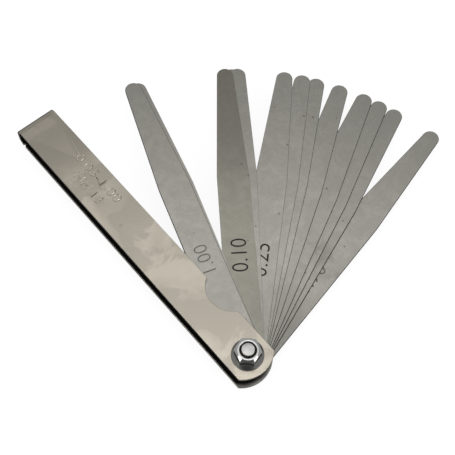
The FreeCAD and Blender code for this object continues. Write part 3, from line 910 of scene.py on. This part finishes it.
class FEELER_OT_blades(bpy.types.Operator):
    """Round the rims of every blade a little and give it its ground finish"""

    bl_idname = "feeler.blades"
    bl_label = "Blades"

    def execute(self, context):
        settings = context.scene.feeler_blades
        for name in BLADE_TURNS:
            stained = name == STAINED_BLADE
            blade = round_rims(name, settings)
            blade.data.materials.clear()
            blade.data.materials.append(blade_material(name, settings, stained))
            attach(blade, "leaf_" + name)
            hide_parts("blade_" + name)
        return {"FINISHED"}


def round_rims(name, settings):
    """A merged copy of a fixed blade, with its sharp rims ground off."""
    source = frame["nodes"]["blade_" + name]
    low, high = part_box("blade_" + name)
    blade = bpy.data.objects.new("ground_" + name, source.data.copy())
    bpy.context.collection.objects.link(blade)
    clean_up(blade)
    with editing(blade, "FACE"):
        bpy.ops.mesh.select_all(action="SELECT")
        bpy.ops.mesh.dissolve_limited(angle_limit=math.radians(1))
    width = min(settings.rim_round, settings.rim_share * (high.z - low.z))
    soften(blade, width, PART_CREASE, bevel_angle=math.radians(60), segments=2)
    require_closed(blade)
    return blade


# Etched sizes that sit a little off the usual place, in millimetres farther out and to the left.
FIGURE_SHIFTS = {
    "0_25": (-1.0, 0.0),
    "0_30": (0.0, 1.0),
    "0_40": (0.0, 1.0),
    "0_50": (0.0, 1.5),
    "0_60": (0.0, 1.5),
    "0_70": (0.0, 1.0),
    "0_80": (1.8, 0.9),
    "0_90": (0.8, 1.2),
    "1_00": (0.7, 0.4),
}
SMALL_FIGURES = {"1_00": 0.84}  # scale of a size that is etched smaller than the rest
WORN_FIGURES = ("0_90", "1_00")
STAINED_BLADE = "0_10"
FIGURE_THINNING = 0.05 * MM  # taken off the figures' strokes on each side


class FEELER_OT_figures(bpy.types.Operator):
    """Etch each blade's thickness on its face"""

    bl_idname = "feeler.figures"
    bl_label = "Etched sizes"

    def execute(self, context):
        settings = context.scene.feeler_blades
        ink = etched_material("etched_black", settings.ink_colour)
        worn = etched_material("etched_worn", settings.faint_colour)
        for name, turn in BLADE_TURNS.items():
            blade_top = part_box("blade_" + name)[1].z
            outward = Vector((math.sin(turn), math.cos(turn), 0.0))
            leftward = Vector((-math.cos(turn), math.sin(turn), 0.0))
            farther, sideways = (shift * MM for shift in FIGURE_SHIFTS.get(name, (0.0, 0.0)))
            spot = outward * (settings.figure_reach + farther) + leftward * sideways
            spot.z = blade_top + settings.figure_clearance + settings.figure_thickness / 2
            place = Matrix.Translation(spot) @ Matrix.Rotation(math.pi / 2 - turn, 4, "Z")
            scale = SMALL_FIGURES.get(name, 1.0)
            figures = solid_text(
                "size_" + name,
                name.replace("_", "."),
                settings.figure_length * scale,
                settings.figure_height * scale,
                settings.figure_thickness,
                place,
                thinning=FIGURE_THINNING,
            )
            figures.data.materials.append(worn if name in WORN_FIGURES else ink)
            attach(figures, "leaf_" + name)
        return {"FINISHED"}


class FEELER_OT_screw(bpy.types.Operator):
    """Turn the pivot screw with its head, shank, thread and rounded end"""

    bl_idname = "feeler.screw"
    bl_label = "Pivot screw"

    def execute(self, context):
        settings = context.scene.feeler_screw
        screw = add_drum("screw_turned", settings.head_diameter / 2, SCREW_LOW.z, settings.head_height)
        with editing(screw, "EDGE"):
            pick_edges(screw, lambda middle: middle.z < SCREW_LOW.z + 0.01 * MM)
            bpy.ops.mesh.bevel(offset_type="OFFSET", offset=settings.head_round, segments=5, profile=0.5)
        with editing(screw, "FACE"):
            pick_faces(screw, faces_up)
            bpy.ops.mesh.inset(thickness=(settings.head_diameter - settings.shank_diameter) / 2)
            turn_shank(settings)
        close_up(screw)
        smooth(screw, PART_CREASE)
        plating = bright_plate_material("bright_screw", settings.plating_colour, settings.plating_roughness)
        screw.data.materials.append(plating)
        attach(screw, HOLDER_BODY)
        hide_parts("pivot_screw")
        return {"FINISHED"}


def grow_shank(rise, ratio=1.0):
    """Extrude the selected end upwards and change its radius by a ratio."""
    extrude_selection((0.0, 0.0, rise))
    if ratio != 1.0:
        bpy.ops.transform.resize(value=(ratio, ratio, 1.0))


def turn_shank(settings):
    """Plain shank through the plates, ridges of thread, lead-in cone and rounded end."""
    crest = settings.shank_diameter / 2
    root = settings.root_diameter / 2
    pitch = settings.pitch
    thread_top = SCREW_HIGH.z - settings.dome - settings.lead
    ridges = int((thread_top - HOLDER_HIGH.z) / pitch)
    grow_shank(thread_top - ridges * pitch - settings.head_height)
    flank, flat = 0.38 * pitch, 0.12 * pitch
    for _ in range(ridges):
        grow_shank(flank, root / crest)
        grow_shank(flat)
        grow_shank(flank, crest / root)
        grow_shank(flat)
    grow_shank(settings.lead, settings.end_diameter / settings.shank_diameter)
    rings = 6
    for ring in range(1, rings):
        before = 1.0 - (ring - 1) / rings
        after = 1.0 - ring / rings
        grow_shank(settings.dome * (before**2 - after**2), after / before)


class FEELER_OT_nut(bpy.types.Operator):
    """Forge the flange nut: hexagon, flange, corner chamfer and countersunk bore"""

    bl_idname = "feeler.nut"
    bl_label = "Flange nut"

    def execute(self, context):
        settings = context.scene.feeler_nut
        base, top = NUT_LOW.z, NUT_HIGH.z
        nut = turn_blank(settings, base, top)
        corner = settings.flats / 2 / math.cos(math.radians(30))
        turn = settings.turn - math.radians(30)
        carve(nut, add_drum("hexagon_tool", corner, base, top + MM, sides=6, turn=turn), "INTERSECT")
        carve(nut, flange_blank(settings, base), "UNION")
        close_up(nut)
        soften(nut, settings.edge_break, PART_CREASE, bevel_angle=math.radians(28))
        bore_top = top - 0.1 * MM  # inside the open countersink
        carve(nut, add_drum("bore_tool", settings.bore / 2, base - MM, bore_top, sides=128))
        close_up(nut)
        smooth(nut, PART_CREASE)
        finish_nut(nut, settings, top)
        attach(nut, HOLDER_BODY)
        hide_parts("flange_nut")
        return {"FINISHED"}


def turn_blank(settings, base, top):
    """A turned blank: chamfer cone outside, flat ring on top and a blind countersink."""
    face = settings.face_diameter / 2
    entry = settings.entry_diameter / 2
    bore = settings.bore / 2
    chamfer = math.radians(30)
    spread = (top - base) / math.tan(chamfer)
    blank = add_cone("nut_forged", face + spread, face, base, top, sides=128)
    with editing(blank, "FACE"):
        pick_faces(blank, faces_up)
        bpy.ops.mesh.inset(thickness=face - entry)
        extrude_selection((0.0, 0.0, bore - entry))
        bpy.ops.transform.resize(value=(bore / entry, bore / entry, 1.0))
    return blank


def flange_blank(settings, base):
    """The flange: a straight rim under a cone that runs up into the flats."""
    radius = NUT_HIGH.x
    overlap = 0.2 * MM
    inner = settings.flats / 2 - overlap
    slope = (settings.cone_height - settings.rim) / (radius - settings.flats / 2)
    flange = add_drum("flange_tool", radius, base, base + settings.rim, sides=128)
    with editing(flange, "FACE"):
        pick_faces(flange, faces_up)
        extrude_selection((0.0, 0.0, (radius - inner) * slope))
        bpy.ops.transform.resize(value=(inner / radius, inner / radius, 1.0))
    return flange


def finish_nut(nut, settings, top):
    """Bright plating on top as the lit copy, the same plating darker on the flats and flange as painted
    shade, and painted shade in the bore.
    """
    entry = settings.entry_diameter / 2
    for material in (
        bright_plate_material("bright_nut", settings.plating_colour, settings.plating_roughness),
        bright_plate_material("handled_nut", settings.shaded_flats_colour, settings.shaded_flats_roughness),
        dark_steel_material("bare_thread", settings.countersink_shade_colour, 0.4),
    ):
        nut.data.materials.append(material)
    bright, shaded_flats, bare = range(3)
    for face in nut.data.polygons:
        outward = face.center.to_2d()
        inward = outward.dot(face.normal.to_2d()) < 0
        # Painted shade on the inward faces of the countersink and the bore.
        if outward.length < entry and inward and face.normal.z < 0.9:
            face.material_index = bare
        # Faces near the top that look up get the lit copy of the plating; the rest get its shaded copy, as
        # painted shade.
        elif face.center.z > top - settings.bright_depth and face.normal.z > 0.6:
            face.material_index = bright
        else:
            face.material_index = shaded_flats


class FEELER_OT_stage(bpy.types.Operator):
    """Set the white floor, the soft studio light and the camera"""

    bl_idname = "feeler.stage"
    bl_label = "Stage"

    def execute(self, context):
        settings = context.scene.feeler_stage
        add_floor(settings)
        add_sky(context.scene, settings)
        add_softboxes(settings)
        add_camera(context.scene, settings)
        context.scene.view_settings.view_transform = "Standard"
        return {"FINISHED"}


def add_floor(settings):
    """A plain floor under the screw head, white as seen directly and grey in the metal."""
    deselect_all()
    bpy.ops.mesh.primitive_plane_add(size=settings.floor_size, location=(0.0, 0.0, SCREW_LOW.z))
    floor = take_primitive("floor")
    material, tree, shader = new_material("white_floor", 0.0)
    shader.inputs["Base Color"].default_value = rgba((settings.floor_grey,) * 3)
    shader.inputs["Roughness"].default_value = 1.0
    shader.inputs["Specular IOR Level"].default_value = 0.0
    shader.inputs["Emission Color"].default_value = WHITE
    path = add_node(tree, "ShaderNodeLightPath")
    glow = maths(tree, "MULTIPLY", path.outputs["Is Camera Ray"], settings.floor_glow)
    tree.links.new(glow, shader.inputs["Emission Strength"])
    floor.data.materials.append(material)


WHITE = (1.0, 1.0, 1.0, 1.0)
SOFTBOX_DISTANCE = 0.9
DARK_RISE = math.radians(45)  # elevation of the middle of the dark side of the room
DARK_EDGES = (0.72, 0.93)  # cosines of the angles from there at which it ends and is darkest

# Brightness of the studio's ceiling at heights given as the sine of the elevation.
CEILING = [
    (0.00, 0.40),
    (0.70, 0.32),
    (0.80, 0.26),
    (0.835, 0.30),
    (0.847, 0.40),
    (0.857, 0.62),
    (0.870, 0.74),
    (0.890, 0.82),
    (0.920, 0.76),
    (1.00, 0.70),
]


def add_sky(scene, settings):
    """A grey studio ceiling over a room that is dark behind the camera, and white as seen directly."""
    world = bpy.data.worlds.new("studio")
    scene.world = world
    world.use_nodes = True
    tree = world.node_tree
    background = next(node for node in tree.nodes if node.type == "BACKGROUND")
    direction = add_node(tree, "ShaderNodeTexCoord").outputs["Generated"]
    ramp = add_node(tree, "ShaderNodeValToRGB", None, {0: split(tree, direction)["Z"]})
    stops = ramp.color_ramp.elements
    ready = len(stops)
    for number, (height, brightness) in enumerate(CEILING):
        if number < ready:
            stop = stops[number]
            stop.position = height
        else:
            stop = stops.new(height)
        stop.color = (brightness, brightness, brightness, 1.0)
    dark_middle = direction_to(settings.azimuth, DARK_RISE)
    behind = vector_maths(tree, "DOT_PRODUCT", direction, dark_middle)["Value"]
    light = remap(tree, behind, *DARK_EDGES, 1.0, 1.0 - settings.shade_depth)
    seen = add_node(tree, "ShaderNodeLightPath").outputs["Is Camera Ray"]
    tree.links.new(mix_colours(tree, seen, ramp.outputs[0], WHITE), background.inputs["Color"])
    tree.links.new(maths(tree, "MAXIMUM", light, seen), background.inputs["Strength"])


def direction_to(azimuth, elevation):
    """A unit vector at an azimuth from +X and an elevation."""
    level = math.cos(elevation)
    return Vector((level * math.cos(azimuth), level * math.sin(azimuth), math.sin(elevation)))


def add_softboxes(settings):
    """Soft lights on either side of the camera and one overhead."""
    for name, azimuth, elevation, size, power in (
        ("softbox_left", 170.0, 38.0, 0.35, 0.8),
        ("softbox_right", -70.0, 42.0, 0.35, 0.8),
        ("softbox_top", 47.5, 84.0, 0.2, 0.11),
    ):
        direction = direction_to(math.radians(azimuth), math.radians(elevation))
        place = Vector(settings.target) + direction * SOFTBOX_DISTANCE
        deselect_all()
        bpy.ops.object.light_add(type="AREA", location=place)
        light = bpy.context.active_object
        light.name = name
        light.data.shape = "SQUARE"
        light.data.size = size
        light.data.energy = power
        light.rotation_euler = direction.to_track_quat("Z", "Y").to_euler()


def add_camera(scene, settings):
    """A camera that looks down on the fan from the pivot side."""
    turn, roll = settings.azimuth, settings.roll
    back = direction_to(turn, settings.elevation)
    level = Vector((-math.sin(turn), math.cos(turn), 0.0))
    upward = back.cross(level)
    right = level * math.cos(roll) + upward * math.sin(roll)
    up = upward * math.cos(roll) - level * math.sin(roll)
    place = Matrix((right, up, back)).transposed().to_4x4()
    place.translation = Vector(settings.target) + back * settings.distance
    deselect_all()
    bpy.ops.object.camera_add()
    camera = bpy.context.active_object
    camera.name = "camera"
    camera.matrix_world = place
    camera.data.lens = settings.lens
    camera.data.sensor_width = settings.sensor
    camera.data.clip_start = 0.01
    camera.data.dof.use_dof = False
    scene.camera = camera


class FEELER_PT_panel(bpy.types.Panel):
    """Lists the gauge's operators"""

    bl_label = "Feeler Gauge"
    bl_idname = "FEELER_PT_panel"
    bl_space_type = "VIEW_3D"
    bl_region_type = "UI"
    bl_category = "Feeler Gauge"

    def draw(self, context):
        for operator in OPERATORS:
            self.layout.operator(operator.bl_idname)


SETTINGS = {
    "feeler_holder": HolderSettings,
    "feeler_lettering": LetteringSettings,
    "feeler_blades": BladeSettings,
    "feeler_screw": ScrewSettings,
    "feeler_nut": NutSettings,
    "feeler_stage": StageSettings,
}
OPERATORS = (
    FEELER_OT_holder,
    FEELER_OT_blades,
    FEELER_OT_figures,
    FEELER_OT_screw,
    FEELER_OT_nut,
    FEELER_OT_stage,
)


def register():
    """Register the settings, operators and panel."""
    for kind in (*SETTINGS.values(), *OPERATORS, FEELER_PT_panel):
        bpy.utils.register_class(kind)
    for name, kind in SETTINGS.items():
        setattr(bpy.types.Scene, name, PointerProperty(type=kind))


def unregister():
    """Remove what register added."""
    for name in SETTINGS:
        delattr(bpy.types.Scene, name)
    for kind in reversed((*SETTINGS.values(), *OPERATORS, FEELER_PT_panel)):
        bpy.utils.unregister_class(kind)


def main():
    """Build the gauge and its stage."""
    register()
    bpy.ops.feeler.holder()
    bpy.ops.feeler.blades()
    bpy.ops.feeler.figures()
    bpy.ops.feeler.screw()
    bpy.ops.feeler.nut()
    bpy.ops.feeler.stage()


if __name__ == "__main__":
    main()
